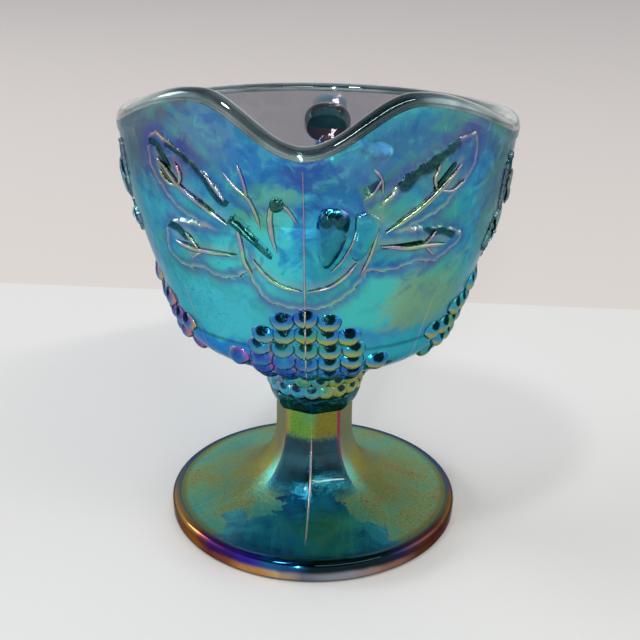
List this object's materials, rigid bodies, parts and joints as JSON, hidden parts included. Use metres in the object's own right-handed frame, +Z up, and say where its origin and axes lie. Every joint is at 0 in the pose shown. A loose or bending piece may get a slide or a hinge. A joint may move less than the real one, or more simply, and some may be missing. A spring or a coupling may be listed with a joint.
{
  "type": "footed glass creamer bowl",
  "caption": "Footed pressed-glass creamer bowl with a pouring spout, loop handle, eight-sided stem and raised grape and leaf relief under an iridescent film.",
  "frame": {"origin": "centre of the circle the foot stands on, in the plane of the table", "axes": "+Z up along the stem, -Y towards the spout, +Y towards the handle, +X to the right seen from the spout"},
  "size_m": [0.0934, 0.1181, 0.1133],
  "materials": {
    "film_bowl": "blue-green pressed glass under a cyan and blue iridescent film",
    "film_grapes": "deep blue glass grapes under an iridescent film",
    "film_foot": "teal glass under a matte gold and olive iridescent film",
    "clear_rim": "smoky teal fire-polished glass",
    "deep_glass": "dark teal solid glass"
  },
  "bodies": {
    "root": {"foot_disc": "film_foot", "foot_edge": "film_foot", "stem": "film_foot", "collar": "deep_glass", "neck": "deep_glass", "neck_grapes": "film_grapes", "bowl_floor": "film_bowl", "bowl_wall": "film_bowl", "spout": "film_bowl", "rim_bead": "clear_rim", "handle": "deep_glass", "handle_roots": "deep_glass", "front_grapes": "film_grapes", "left_grapes": "film_grapes", "right_grapes": "film_grapes", "back_grapes": "film_grapes", "lone_grapes": "film_grapes", "leaf_centre": "film_bowl", "leaf_upper_left": "film_bowl", "leaf_upper_right": "film_bowl", "leaf_lower_left": "film_bowl", "leaf_lower_right": "film_bowl", "leaf_folds": "film_bowl", "front_veins": "film_bowl", "front_tendrils": "film_bowl", "side_leaf_left": "film_bowl", "side_leaf_right": "film_bowl", "side_veins": "film_bowl", "bowl_seams": "film_bowl", "stem_seams": "film_foot"}
  },
  "joints": []
}
